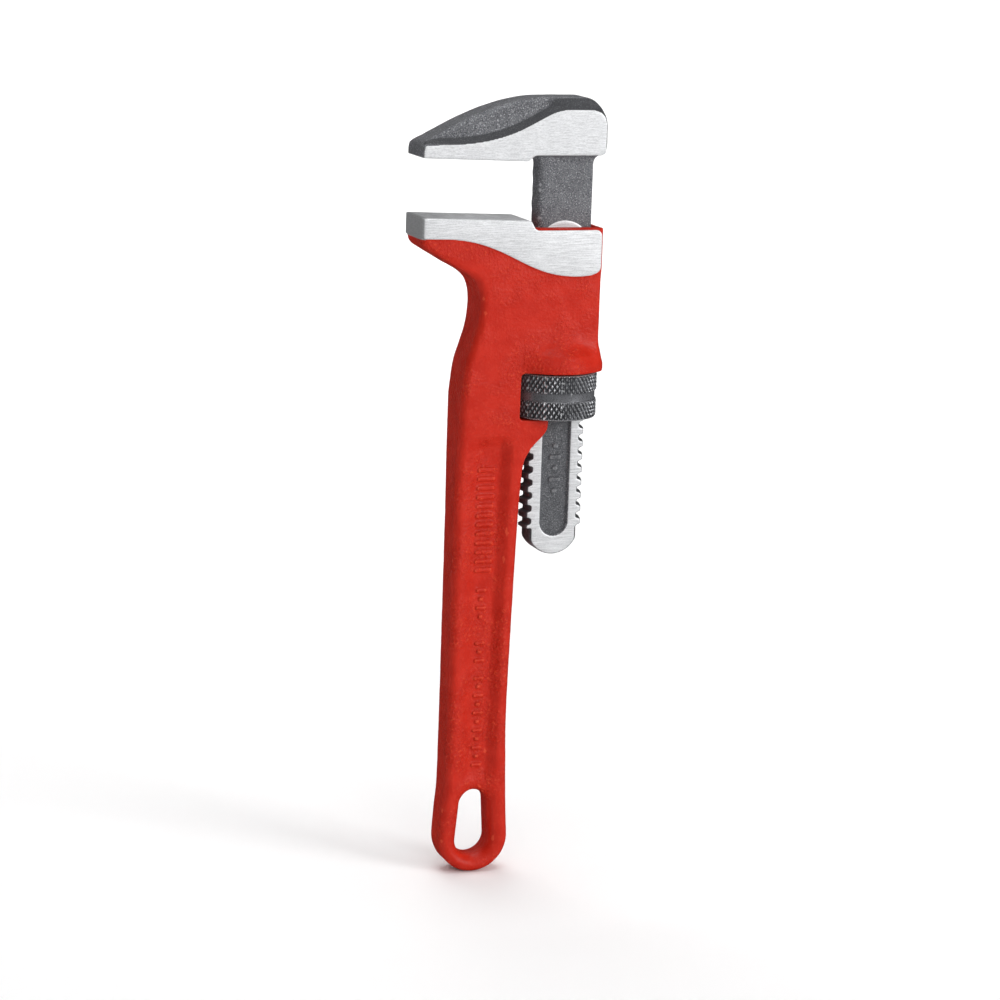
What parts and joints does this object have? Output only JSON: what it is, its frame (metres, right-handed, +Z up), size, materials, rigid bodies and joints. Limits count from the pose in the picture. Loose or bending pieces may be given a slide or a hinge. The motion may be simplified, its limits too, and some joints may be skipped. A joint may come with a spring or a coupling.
{
  "type": "pipe wrench",
  "caption": "Adjustable smooth-jaw pipe wrench: cast handle with fixed jaw, sliding hook jaw on a threaded shank, knurled adjusting nut.",
  "frame": {"origin": "centre of the bounding box on its lowest plane, just under the handle's ring", "axes": "+Z up the handle from the ring to the hook jaw, along the shank; -X towards the jaw tips, +X towards the back of the head; Y across the thickness"},
  "size_m": [0.0764, 0.0358, 0.303],
  "materials": {
    "red_enamel": "red enamel over rough iron casting, with the fixed jaw's faces ground bare",
    "forged_steel": "dark forging scale, with the jaw faces and the shank's threaded faces ground bare",
    "blackened_steel": "blackened steel with diamond knurling",
    "spring_steel": "oiled spring steel",
    "rivet_steel": "plain steel"
  },
  "bodies": {
    "housing": {"handle_housing": "red_enamel", "flat_spring": "spring_steel", "coil_spring": "spring_steel", "spring_rivet": "rivet_steel"},
    "nut": {"adjusting_nut": "blackened_steel"},
    "jaw": {"hook_jaw": "forged_steel"}
  },
  "joints": [
    {"name": "nut_spin", "type": "hinge", "parent": "housing", "child": "nut", "pos_m": [0.02025, 0, 0.1897], "axis": [0, 0, 1], "range_deg": [-3168.5, 1538.5]},
    {"name": "jaw_slide", "type": "slide", "parent": "housing", "child": "jaw", "axis": [0, 0, 1], "range_m": [-0.0217, 0.0447]}
  ],
  "couplings": [
    {"joint": "nut_spin", "follows": "jaw_slide", "rad_per_m": -1236.8}
  ]
}
